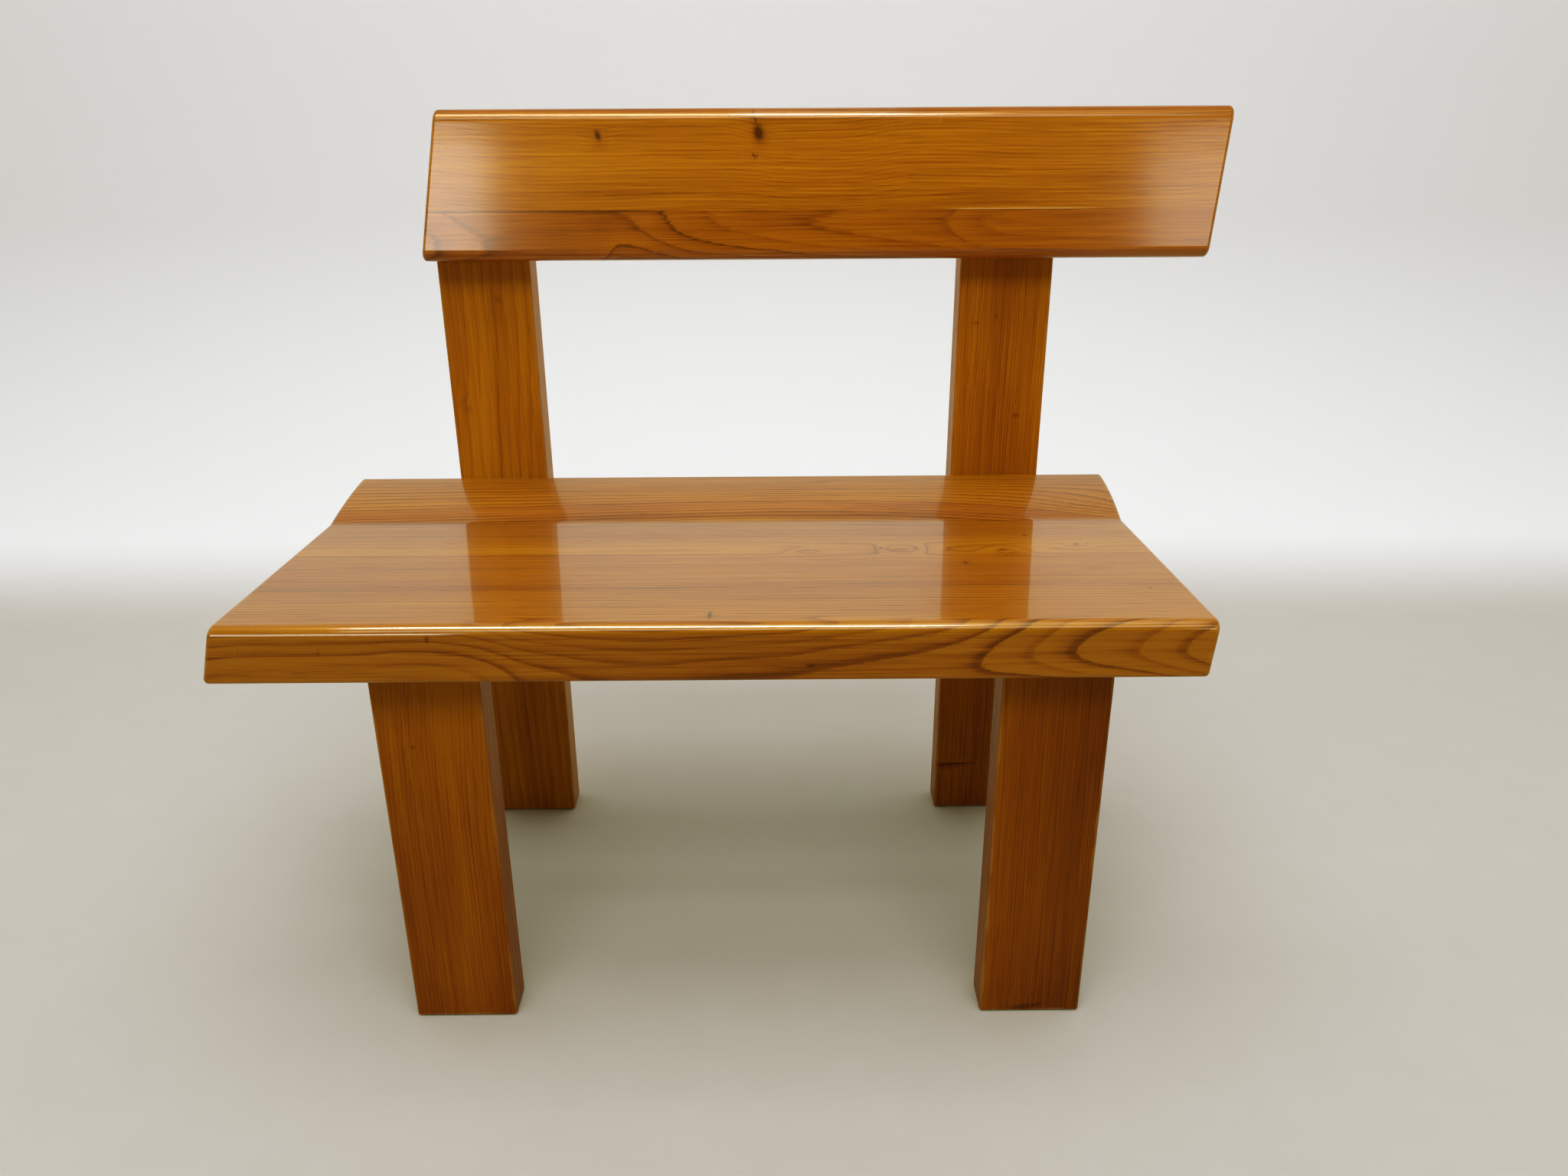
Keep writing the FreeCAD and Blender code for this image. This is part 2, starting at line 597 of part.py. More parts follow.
# --------------------------------------------------------------------- screws
def screws(name, role, points, seat, tip, head_end, shank_d, head_d):
    """Round-headed screws along one axis: the head from head_end to seat, the
    shank from seat to tip."""
    body = new_body(name, many=True)
    lo = min(seat.value, tip.value)
    for part, a, b, dia in (("shanks", seat, tip, shank_d), ("heads", head_end, seat, head_d)):
        sk = new_sketch(body, "%s_%s_sketch" % (name, part), role, a)
        circles(sk, points, dia)
        f = pad(body, sk, "%s_%s" % (name, part), (b - a) if b.value > a.value else (a - b))
        box = f.Shape.BoundBox
        axis = "Y" if role == "XZ_Plane" else "Z"
        far = getattr(box, axis + "Max") if b.value > a.value else getattr(box, axis + "Min")
        if (b.value > a.value and far < b.value - 1e-6) or (b.value < a.value and far > b.value + 1e-6):
            f.Reversed = True
            doc.recompute()
    axis = "y" if role == "XZ_Plane" else "z"
    dress(body, "Chamfer", name + "_tips", ring_at(tip.value, axis), shank_d / 2 - 0.6)
    dress(body, "Chamfer", name + "_crowns", ring_at(head_end.value, axis), 1.2)
    nodes.append(body)


def plugs(name, points, diameter, length):
    body = new_body(name, many=True)
    back = base_y + leg_depth
    sk = new_sketch(body, name + "_sketch", "XZ_Plane", back)
    circles(sk, points, diameter)
    f = pad(body, sk, name + "_plugs", length)
    if f.Shape.BoundBox.YMax > back.value + 1e-6:
        f.Reversed = True
        doc.recompute()
    front = back.value - as_size(length).value
    dress(body, "Chamfer", name + "_lead", ring_at(front, "y"), 0.8)
    nodes.append(body)


back_y = base_y + leg_depth
for side in ("left", "right"):
    screws("%s_seat_screws" % side, "XY_Plane", [(middle[side], y) for y in SEAT_SCREWS],
           dim("seat_screw_seat_z"), dim("seat_screw_tip_z"), dim("seat_screw_seat_z") - dim("screw_head_depth"),
           dim("screw_diameter"), dim("screw_head"))
    screws("%s_backrest_screws" % side, "XZ_Plane", back_screw_points(side),
           dim("back_screw_seat_y"), dim("back_screw_tip_y"), dim("back_screw_seat_y") + dim("screw_head_depth"),
           dim("screw_diameter"), dim("screw_head"))
    screws("%s_post_screws" % side, "XZ_Plane", bolt_points(side),
           dim("bolt_seat_y"), dim("bolt_tip_y"), dim("bolt_seat_y") + dim("bolt_head_depth"),
           dim("bolt_diameter"), dim("bolt_head"))
    plugs("%s_backrest_plugs" % side, back_screw_points(side), dim("plug_diameter"), dim("plug_length"))
    plugs("%s_post_plugs" % side, bolt_points(side), dim("bolt_plug_diameter"), dim("bolt_plug_length"))

# ------------------------------------------------------------ check and write
doc.recompute()
for obj in doc.Objects:
    if "Invalid" in obj.State or "Error" in obj.State:
        raise RuntimeError("%s: %s" % (obj.Name, obj.State))
for body in nodes:
    shape = body.Shape
    if shape.isNull() or not shape.isValid() or not shape.Solids:
        raise RuntimeError("%s has no valid shape" % body.Label)
box = FreeCAD.BoundBox()
for body in nodes:
    body.Shape.exportStep("parts/%s.step" % body.Label)
    box.add(body.Shape.BoundBox)
    b = body.Shape.BoundBox
    print("%-24s %2d solids %10.0f mm3  x %7.1f %7.1f  y %7.1f %7.1f  z %6.1f %6.1f" % (
        body.Label, len(body.Shape.Solids), body.Shape.Volume, b.XMin, b.XMax, b.YMin, b.YMax, b.ZMin, b.ZMax))
print("nodes", len(nodes), "box", box)
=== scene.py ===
import math

import bpy
from mathutils import Matrix, Vector

# The looks of a wooden bench with a backrest: amber-varnished elm boards on
# flat legs. Metres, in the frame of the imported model. The grain of each board
# is one solid pattern of growth rings worked out in millimetres, so it runs
# round edges and shows as end grain where a board is cut across.

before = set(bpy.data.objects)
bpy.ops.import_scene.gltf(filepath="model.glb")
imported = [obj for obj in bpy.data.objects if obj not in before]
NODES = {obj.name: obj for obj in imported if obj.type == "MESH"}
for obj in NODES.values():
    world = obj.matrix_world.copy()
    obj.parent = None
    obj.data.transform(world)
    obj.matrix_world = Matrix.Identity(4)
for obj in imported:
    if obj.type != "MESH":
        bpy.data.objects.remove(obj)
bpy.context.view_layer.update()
scene = bpy.context.scene


# ------------------------------------------------------------- node building
class Value:
    """A number in a shader graph, with arithmetic that adds nodes."""

    def __init__(self, graph, socket):
        self.graph, self.socket = graph, socket

    def _do(self, op, *others):
        return self.graph.math(op, self, *others)

    def __add__(self, o): return self._do("ADD", o)
    def __radd__(self, o): return self._do("ADD", o)
    def __sub__(self, o): return self._do("SUBTRACT", o)
    def __rsub__(self, o): return self.graph.math("SUBTRACT", o, self)
    def __mul__(self, o): return self._do("MULTIPLY", o)
    def __rmul__(self, o): return self._do("MULTIPLY", o)
    def __truediv__(self, o): return self._do("DIVIDE", o)
    def __neg__(self): return self._do("MULTIPLY", -1.0)
    def sqrt(self): return self._do("SQRT")
    def abs(self): return self._do("ABSOLUTE")
    def fract(self): return self._do("FRACT")
    def floor(self): return self._do("FLOOR")
    def exp(self): return self._do("EXPONENT")
    def power(self, o): return self._do("POWER", o)
    def least(self, o): return self._do("MINIMUM", o)
    def most(self, o): return self._do("MAXIMUM", o)
    def clamp(self): return self.graph.math("ADD", self, 0.0, clamp=True)

    def step(self, lo, hi):
        """0 at lo, 1 at hi, eased between. lo may be the larger."""
        n = self.graph.add("ShaderNodeMapRange", interpolation_type="SMOOTHSTEP")
        self.graph.plug(n.inputs[0], self)
        n.inputs[1].default_value, n.inputs[2].default_value = lo, hi
        return Value(self.graph, n.outputs[0])

    def curve(self, points):
        """A smooth function through a few (input, output) points."""
        xs, ys = [p[0] for p in points], [p[1] for p in points]
        x0, x1, y0, y1 = min(xs), max(xs), min(ys), max(ys)
        n = self.graph.add("ShaderNodeFloatCurve")
        line = n.mapping.curves[0]
        for i, (x, y) in enumerate(points):
            at = ((x - x0) / (x1 - x0), (y - y0) / (y1 - y0))
            if i < 2:
                line.points[i].location = at
            else:
                line.points.new(*at)
        n.mapping.update()
        self.graph.plug(n.inputs["Value"], ((self - x0) / (x1 - x0)).clamp())
        return Value(self.graph, n.outputs[0]) * (y1 - y0) + y0


class Graph:
    def __init__(self, name):
        self.material = bpy.data.materials.new(name)
        self.material.use_nodes = True
        self.tree = self.material.node_tree
        self.tree.nodes.clear()

    def add(self, kind, **settings):
        n = self.tree.nodes.new(kind)
        for key, value in settings.items():
            setattr(n, key, value)
        return n

    def plug(self, socket, value):
        if isinstance(value, Value):
            value = value.socket
        if isinstance(value, bpy.types.NodeSocket):
            self.tree.links.new(value, socket)
        else:
            socket.default_value = value

    def math(self, op, *terms, clamp=False):
        n = self.add("ShaderNodeMath", operation=op, use_clamp=clamp)
        for i, t in enumerate(terms):
            self.plug(n.inputs[i], t)
        return Value(self, n.outputs[0])

    def millimetres(self):
        """The place on the bench, in millimetres along X, Y and Z."""
        where = self.add("ShaderNodeTexCoord")
        split = self.add("ShaderNodeSeparateXYZ")
        self.plug(split.inputs[0], where.outputs["Object"])
        return [Value(self, o) * 1000.0 for o in split.outputs]

    def facing(self):
        """The surface's own direction along X, Y and Z."""
        where = self.add("ShaderNodeTexCoord")
        split = self.add("ShaderNodeSeparateXYZ")
        self.plug(split.inputs[0], where.outputs["Normal"])
        return [Value(self, o) for o in split.outputs]

    def noise(self, at, detail=2.0, rough=0.5, seed=0.0):
        """About -0.5 to 0.5."""
        join = self.add("ShaderNodeCombineXYZ")
        for i, v in enumerate(at):
            self.plug(join.inputs[i], v + (seed * (i + 1) * 7.31) if isinstance(v, Value) else v)
        n = self.add("ShaderNodeTexNoise", noise_dimensions="3D")
        self.plug(n.inputs["Vector"], join.outputs[0])
        n.inputs["Scale"].default_value = 1.0
        n.inputs["Detail"].default_value = detail
        n.inputs["Roughness"].default_value = rough
        return Value(self, n.outputs[0]) - 0.5

    def chance(self, number, seed=0.0):
        """A random 0 to 1 for each whole number."""
        n = self.add("ShaderNodeTexWhiteNoise", noise_dimensions="1D")
        self.plug(n.inputs["W"], number * 1.37 + seed)
        return Value(self, n.outputs["Value"])

    def ramp(self, factor, stops):
        n = self.add("ShaderNodeValToRGB")
        bar = n.color_ramp
        for i, (at, colour) in enumerate(stops):
            s = bar.elements[i] if i < 2 else bar.elements.new(at)
            s.position = at
            s.color = (*colour, 1.0)
        self.plug(n.inputs[0], factor)
        return n.outputs[0]

    def mix(self, factor, a, b, blend="MIX"):
        n = self.add("ShaderNodeMix", data_type="RGBA", blend_type=blend)
        self.plug(n.inputs[0], factor)
        for socket, v in ((n.inputs[6], a), (n.inputs[7], b)):
            self.plug(socket, (*v, 1.0) if isinstance(v, tuple) else v)
        return n.outputs[2]

    def bump(self, height, strength, distance):
        n = self.add("ShaderNodeBump")
        n.inputs["Strength"].default_value = strength
        n.inputs["Distance"].default_value = distance
        self.plug(n.inputs["Height"], height)
        return n.outputs[0]

    def finish(self, colour, roughness, normal=None, coat_normal=None, **fixed):
        shader = self.add("ShaderNodeBsdfPrincipled")
        self.plug(shader.inputs["Base Color"], (*colour, 1.0) if isinstance(colour, tuple) else colour)
        self.plug(shader.inputs["Roughness"], roughness)
        if normal is not None:
            self.plug(shader.inputs["Normal"], normal)
        if coat_normal is not None:
            self.plug(shader.inputs["Coat Normal"], coat_normal)
        for key, value in fixed.items():
            self.plug(shader.inputs[key.replace("_", " ")], value)
        out = self.add("ShaderNodeOutputMaterial")
        self.plug(out.inputs["Surface"], shader.outputs[0])
        return self.material


def spot(a, b, at, size, turn=0.0):
    """A soft round spot, 1 at its middle, with half-sizes in mm."""
    da, db = a - at[0], b - at[1]
    if turn:
        c, s = math.cos(turn), math.sin(turn)
        da, db = da * c + db * s, db * c - da * s
    da, db = da / size[0], db / size[1]
    return (-(da * da + db * db)).exp()


# ------------------------------------------------------------------ the wood
HONEY = [(0.0, (0.56, 0.205, 0.006)), (0.30, (0.42, 0.128, 0.002)), (0.62, (0.265, 0.062, 0.001)), (1.0, (0.065, 0.013, 0.001))]
ROSY = [(0.0, (0.54, 0.170, 0.008)), (0.30, (0.400, 0.102, 0.003)), (0.62, (0.250, 0.050, 0.002)), (1.0, (0.065, 0.012, 0.001))]
AMBER = [(0.0, (0.40, 0.145, 0.004)), (0.30, (0.295, 0.088, 0.001)), (0.62, (0.185, 0.042, 0.001)), (1.0, (0.048, 0.0095, 0.0005))]
COPPER = [(0.0, (0.385, 0.124, 0.007)), (0.30, (0.285, 0.072, 0.003)), (0.62, (0.175, 0.034, 0.001)), (1.0, (0.048, 0.009, 0.0005))]
TAWNY = [(0.0, (0.39, 0.112, 0.002)), (0.30, (0.265, 0.062, 0.001)), (0.62, (0.155, 0.032, 0.001)), (1.0, (0.045, 0.008, 0.0005))]
RUSSET = [(0.0, (0.34, 0.088, 0.002)), (0.30, (0.23, 0.046, 0.001)), (0.62, (0.135, 0.024, 0.001)), (1.0, (0.042, 0.007, 0.0005))]


def wood(g, rings, along, across, depth, *, tone=0.0, red=0.0, dark=0.0, pale=0.0, palette=(HONEY, ROSY), late=0.34,
         edge=0.30, fibre=0.62, pore=0.26, blotch=0.30, end=None, wear=None, seed=0.0, coat=1.0, coat_rough=0.09, rough=0.36, wave=0.02, ripple=0.10, sheen=0.4, fray=0.40, broad=0.0):
    """Elm under clear varnish. rings counts growth rings; along, across and
    depth are the board's own directions in mm; tone and red are broad changes
    of colour; dark and pale are marks; end says where end grain shows."""
    hair = g.noise((along * 0.020, across * 1.7, depth * 1.7), 1.0, 0.6, seed + 3)
    streak = g.noise((along * 0.006, across * 0.40, depth * 0.40), 2.0, 0.65, seed + 2)
    vessel = g.noise((along * 0.030, across * 0.85, depth * 0.85), 0.0, 0.5, seed + 4).step(0.12, 0.25)
    cloud = g.noise((along * 0.0045, across * 0.02, depth * 0.02), 1.0, 0.55, seed + 5)
    count = rings + hair * 0.18 + streak * fray
    ff = count.fract()
    luck = g.chance(count.floor(), seed)
    fall = ff.step(1.0, 0.965)
    summer = ff.step(0.15, 0.96) * fall
    rim = (ff + broad).step(0.76, 0.95) * fall
    spring = ff.step(0.34, 0.02)
    pores = vessel * (spring * 0.65 + 0.35)
    m = (summer * late + rim * edge) * (luck * 0.65 + 0.35) + 0.16
    m = m + streak * fibre + hair * (fibre * 0.6) + pores * pore + cloud * blotch + tone
    rosy = cloud * 0.8 + streak * 0.5 + red
    if end is not None:
        m = m + end * 0.20
    m = (m + dark).clamp()
    body = g.mix(rosy.clamp(), g.ramp(m, palette[0]), g.ramp(m, palette[1]))
    if isinstance(pale, Value):
        body = g.mix(pale.clamp(), body, (0.62, 0.36, 0.13))
    if wear is not None:
        body = g.mix(wear, body, (0.50, 0.25, 0.07))
    normal = g.bump(hair * 0.2 - vessel * 0.45, 0.18, 0.0004)
    swell = g.noise((along * 0.0055, across * 0.03, depth * 0.03), 1.0, 0.3, seed + 6)
    skin = g.bump(swell + streak * ripple + hair * (ripple * 0.4), wave, 0.012)
    roughness = pores * 0.10 + hair * 0.12 + rough
    if wear is not None:
        roughness = roughness + wear * 0.15
    return g.finish(body, roughness, normal, skin, Coat_Weight=coat, Coat_Roughness=coat_rough, Coat_IOR=1.41,
                    IOR=1.45, Specular_IOR_Level=sheen, Specular_Tint=(1.0, 0.70, 0.22, 1.0))


LEAN = math.radians(8.0)


def on_backrest(y, z):
    """Height up the backrest's front face, from 3 mm above its foot, and depth
    behind it, in mm."""
    up = (z - 695.7) * math.cos(LEAN) + (y - 187.0) * math.sin(LEAN)
    behind = (y - 187.0) * math.cos(LEAN) - (z - 695.7) * math.sin(LEAN) + 40.0
    return up, behind


def slanted(x, z, at, slope, level):
    """Distance from a board end that slants in the front view."""
    return (x - (z - level) * slope - at).abs()


def arris(g, a, b, reach, where, seed):
    """Worn varnish where two faces meet: a and b are distances from them."""
    chip = g.noise((where[0] * 0.06, where[1] * 0.06, where[2] * 0.06), 1.0, 0.6, seed)
    return (a.most(b) + chip * reach * 2.2).step(reach, reach * 0.15)


def seat_front():
    g = Graph("elm_seat_front")
    x, y, z = g.millimetres()
    nx, ny, nz = g.facing()
    drift = g.noise((x * 0.0022, y * 0.011, z * 0.011), 1.0, 0.5, 1)
    wander = g.noise((x * 0.011, y * 0.05, z * 0.05), 1.0, 0.5, 2)
    a = y + 23.0 + drift * 13.0 + wander * 2.6
    b = z - 413.0
    radius = (a * a + b * b).sqrt()
    # eyes where small branches left the trunk
    eyes = spot(x, y, (120, -27), (95, 30)) * 9.0 + spot(x, y, (135, -21), (23, 15)) * 15.0 + spot(x, y, (38, -27), (19, 9)) * 9.0
    eyes = eyes + spot(x, y, (238, -29), (24, 13)) * 11.0 + spot(x, y, (310, -13), (14, 8)) * 9.0 + spot(x, y, (-47, -203), (12, 9)) * 3.0
    eyes = eyes + spot(x, y, (343, -146), (11, 6)) * 4.0
    top = (radius + eyes) / 6.0
    top = top + g.noise((top * 0.21, x * 0.0006, y * 0.001), 0.0, 0.5, 3) * 1.6
    # the front face is cut along the rings, so they open into arches there
    crest = x.curve([(-480, 5.1), (-440, 5.48), (-394, 5.53), (-339, 5.65), (-302, 5.9), (-272, 5.75), (-250, 5.4), (-224, 4.6), (-205, 3.95),
                     (-180, 3.55), (-147, 3.1), (-100, 2.78), (-53, 2.95), (0, 3.1), (90, 3.3), (143, 3.42), (165, 3.62), (184, 4.0), (227, 5.0),
                     (264, 6.0), (318, 7.0), (358, 8.0), (395, 8.9)])
    level = x.curve([(-480, 386), (0, 386.5), (51, 392), (102, 398), (143, 404), (184, 410), (227, 417), (264, 420), (395, 421)])
    d = z - level
    above, below = d.most(0.0), d.least(0.0)
    front = crest - above * above * 0.0012 - below * below * 0.003
    front = front + drift * 0.22 + wander * 0.16 + 31.0
    face = y.step(-196.0, -223.0)
    rings = top + (front - top) * face
    # broad bands of colour across the top
    band = (y + drift * 10.0 + wander * 3.0)
    tone = band.curve([(-230, 0.02), (-205, -0.04), (-160, 0.0), (-141, 0.03), (-135, 0.12), (-120, 0.10), (-112, 0.02), (-70, 0.03), (-52, 0.02),
                       (-38, 0.04), (-33, -0.10), (-5, -0.10), (10, -0.02), (40, 0.04), (74, 0.03)])
    red = band.curve([(-230, 0.15), (-160, 0.2), (-120, 0.65), (-70, 0.5), (-38, 0.35), (-30, 0.05), (-5, 0.05), (12, 0.4), (74, 0.55)])
    marks = spot(x, y, (113, -18.5), (2.0, 3.4)) * 0.55 + spot(x, y, (125, -23), (5, 2.2)) * 0.40 + spot(x, y, (147, -19), (2.2, 3.0)) * 0.45
    marks = marks + spot(x, y, (136, -27), (9, 5)) * 0.20 + spot(x, y, (38, -27), (8, 3)) * 0.22
    marks = marks + spot(x, y, (234.5, -26), (4.5, 3.0)) * 0.50 + spot(x, y, (311, -10), (2.6, 3.6)) * 0.55 + spot(x, y, (308, -16), (9, 2)) * 0.30
    marks = marks + spot(x, y, (265, 21), (1.7, 3.2)) * 0.60 + spot(x, y, (181, 25), (1.4, 1.8)) * 0.45 + spot(x, y, (191, -66), (2.4, 3.0)) * 0.60
    marks = marks + spot(x, y, (176, -30), (5, 1.2)) * 0.40 + spot(x, y, (347, -142), (1.5, 2.2)) * 0.55
    marks = marks + spot(x, y, (-48.7, -202), (1.6, 7.0)) * 0.75 + spot(x, z, (-285, 436), (1.6, 3.0)) * 0.35 * face
    marks = marks + spot(x, z, (-378, 424), (1.4, 2.4)) * 0.16 * face + spot(x, z, (37, 409), (4, 1.4)) * 0.4 * face
    seam = (y - 74.0).abs().step(1.3, 0.2) * 0.5
    # one dark growth line runs along the pale band
    line = (band + 36.5).abs().step(1.5, 0.3) * x.step(160.0, -140.0) * 0.30
    along_end = nx.abs().step(0.55, 0.9)
    left, right = slanted(x, z, -468.5, 0.25, 446), slanted(x, z, 383, 0.09, 446)
    ends = left.least(right)
    edge_gap = (y + 227.0).abs().least((z - 394.0).abs())
    worn = arris(g, ends, edge_gap.least((z - 446.4 + (y + 227.0) * 0.0468).abs()), 5.5, (x, y, z), 9) * 0.32
    scuffs = (g.noise((x * 0.5, y * 0.06, z * 0.1), 2.0, 0.6, 12).step(0.17, 0.24) * spot(x, y, (-447, -222), (16, 9))) * 0.7
    # the varnish is thinner and darker on the upright front face
    brow = y.step(-220.0, -224.0) * z.step(438.5, 436.0)
    return wood(g, rings, x, y, z, tone=tone + x.step(120.0, 330.0) * -0.09 + brow * (spot(x, z, (-20, 415), (170, 60)) * 0.15 - 0.10), red=red + brow * 1.0, palette=(AMBER, COPPER), dark=marks * 1.5 + seam + line, pale=scuffs, end=along_end, wear=worn,
                seed=3.0, late=face * (x.step(20.0, 200.0) * 0.12 - 0.08) + 0.32, edge=face * (x.step(20.0, 200.0) * 0.07 - 0.16) + spot(x, y, (130, -24), (70, 22)) * 0.6 + 0.42,
                fibre=brow * 0.34 + 0.62,
                fray=face * -0.18 + 0.26, coat=brow * -0.84 + 1.0, coat_rough=0.06, wave=0.003, ripple=0.25, broad=face * 0.10)


def seat_rear():
    g = Graph("elm_seat_rear")
    x, y, z = g.millimetres()
    nx, ny, nz = g.facing()
    drift = g.noise((x * 0.0025, y * 0.014, z * 0.014), 1.0, 0.5, 21)
    wander = g.noise((x * 0.012, y * 0.06, z * 0.06), 1.0, 0.5, 22)
    arch = x.curve([(-480, 18), (-300, 11), (-100, 2.5), (43, 0), (140, 4), (240, 14), (343, 33), (400, 47)])
    a = y + arch * y.step(165.0, 95.0) + drift * 5.0 + wander * 1.6
    rings = (a * 0.95 + (z - 400.0) * 0.4) / 5.4
    rings = rings + g.noise((rings * 0.19, x * 0.0005, y * 0.001), 0.0, 0.5, 23) * 1.5
    tone = a.curve([(60, -0.02), (82, -0.03), (86, 0.02), (89, 0.22), (92, 0.12), (97, 0.07), (118, 0.08), (122, -0.06), (132, -0.05), (150, 0.0),
                    (172, 0.02), (190, -0.03)])
    red = a.curve([(60, 0.15), (84, 0.1), (92, 0.85), (117, 0.9), (123, 0.2), (150, 0.3), (190, 0.2)])
    seam = (y - 74.0).abs().step(1.3, 0.2) * 0.5
    ends = slanted(x, z, -468.5, 0.25, 446).least(slanted(x, z, 383, 0.09, 446))
    worn = arris(g, ends, (y - 187.0).abs().least((z - 452.0).abs()).least((z - 394.0).abs()), 5.5, (x, y, z), 24) * 0.3
    return wood(g, rings, x, y, z, tone=tone, red=red, dark=seam, end=nx.abs().step(0.55, 0.9), wear=worn, seed=23.0,
                palette=(AMBER, COPPER), late=0.30, edge=0.46, coat_rough=0.09, wave=0.012, fray=0.26)


def backrest_upper():
    g = Graph("elm_backrest_upper")
    x, y, z = g.millimetres()
    nx, ny, nz = g.facing()
    v, u = on_backrest(y, z)
    drift = g.noise((x * 0.0028, v * 0.012, u * 0.012), 1.0, 0.5, 31)
    wander = g.noise((x * 0.010, v * 0.05, u * 0.05), 1.0, 0.5, 32)
    bend = x.curve([(-365, 12), (-320, 8), (-270, 2.5), (-220, 0), (-60, 2), (60, -5), (170, 4), (300, 1), (480, 6)])
    a = v - bend + drift * 8.0 + wander * 2.2
    knots = spot(x, v, (-171, 119), (16, 9)) * 4.0 + spot(x, v, (-7, 121), (22, 13)) * 6.0 + spot(x, v, (150, 58), (62, 8)) * 6.0
    rings = (a + knots + u * 0.45) / 3.9
    rings = rings + g.noise((rings * 0.17, x * 0.0006, v * 0.001), 0.0, 0.5, 33) * 1.4
    marks = spot(x, v, (-171, 120), (2.6, 4.6), 0.3) * 0.85 + spot(x, v, (-7, 122), (4.4, 7.2), 0.2) * 0.85 + spot(x, v, (-5, 118), (9, 11)) * 0.22
    marks = marks + spot(x, v, (-12, 100), (1.3, 2.6), 0.4) * 0.6 + spot(x, v, (-9, 99), (1.2, 2.2), -0.5) * 0.4
    marks = marks + spot(x, v, (-12.5, 140), (1.0, 3.2), -0.4) * 0.75 + spot(x, v, (-10, 134), (0.9, 3.0), 0.3) * 0.6 + spot(x, v, (-171, 112), (8, 8)) * 0.12
    seam = (v - 46.0).abs().step(1.2, 0.2) * (x.step(-60, -150) * 0.55 + x.step(190, 260) * 0.12)
    # painted shade: the top rounding is made darker, holding down the overhead light that falls on it
    tone = v.curve([(40, 0.05), (60, 0.06), (78, -0.02), (95, -0.05), (118, 0.02), (128, 0.03), (136, 0.10), (142, 0.30), (147, 0.36), (151, 0.36)])
    # a chafed line along the joint and small nicks below the top edge
    chafe = (v - 46.8).abs().step(1.1, 0.2) * x.step(180, 215) * x.step(360, 310) * (g.noise((x * 0.07, v * 0.2, u), 2.0, 0.6, 34) + 0.85).clamp()
    nicks = g.noise((x * 0.42, v * 0.05, u * 0.1), 2.0, 0.6, 35).step(0.16, 0.24) * spot(x, v, (178, 127), (26, 8)) * 0.55
    ends = slanted(x, z, -360.6, 0.16, 701.27).least(slanted(x, z, 464.3, 0.111, 701.27))
    worn = arris(g, ends, u.abs().least((u - 40.0).abs()).least((v - 147.0).abs()), 5.0, (x, v, u), 36) * 0.14
    # the varnish is worn thin along the top edge, but for a stretch in the middle
    thin = v.step(136.0, 142.0) * (x.step(-45.0, -5.0) * x.step(165.0, 120.0) * -0.75 + 0.9)
    return wood(g, rings, x, v, u, tone=tone + 0.035, red=x.step(-60.0, -240.0) * -0.16 + 0.22, dark=marks + seam, pale=chafe * 0.9 + nicks, end=nx.abs().step(0.55, 0.9), wear=worn,
                seed=31.0, late=0.18, edge=0.19, fibre=0.82, coat=thin * -1.0 + 1.0, coat_rough=0.12, ripple=0.16, sheen=0.3)


def backrest_lower():
    g = Graph("elm_backrest_lower")
    x, y, z = g.millimetres()
    nx, ny, nz = g.facing()
    v, u = on_backrest(y, z)
    drift = g.noise((x * 0.004, v * 0.014, u * 0.014), 1.0, 0.5, 41)
    wander = g.noise((x * 0.016, v * 0.05, u * 0.05), 1.0, 0.5, 42)
    crest = x.curve([(-370, 2.4), (-346, 2.0), (-295, 1.0), (-270, 0.84), (-205, 0.80), (-172, 0.86), (-149, 1.0), (-108, 2.0), (-64, 3.0), (-20, 3.6),
                     (51, 4.0), (120, 4.4), (189, 5.0), (230, 6.0), (300, 6.35), (400, 6.55), (485, 6.8)])
    level = x.curve([(-370, 8), (-255, 9), (-185, 44), (-64, 46), (0, 41), (51, 36), (485, 34)])
    bow = x.curve([(-370, -0.00056), (-292, -0.0005), (-262, -0.00016), (-182, -0.00016), (-150, -0.00095), (-64, -0.0011), (51, -0.0017), (485, -0.0018)])
    d = v - level
    rings = crest + bow * d * d + drift * 0.24 + wander * 0.15 - u * 0.05 + 6.0
    seam = (v - 46.0).abs().step(1.2, 0.2) * (x.step(-60, -150) * 0.55 + x.step(190, 260) * 0.12)
    tone = v.curve([(-4, 0.14), (1, 0.11), (7, 0.06), (20, 0.04), (48, 0.04)])
    ends = slanted(x, z, -360.6, 0.16, 701.27).least(slanted(x, z, 464.3, 0.111, 701.27))
    worn = arris(g, ends, u.abs().least((u - 40.0).abs()).least((v + 3.0).abs()), 5.0, (x, v, u), 46) * 0.35
    return wood(g, rings, x, v, u, tone=tone + 0.175, red=0.80, dark=seam, end=nx.abs().step(0.55, 0.9), wear=worn, seed=41.0,
                late=x.step(260, 20) * 0.12 + 0.10, edge=x.step(260, 20) * 0.24 + 0.10, fibre=0.66, coat_rough=0.12, ripple=0.16, sheen=0.3)


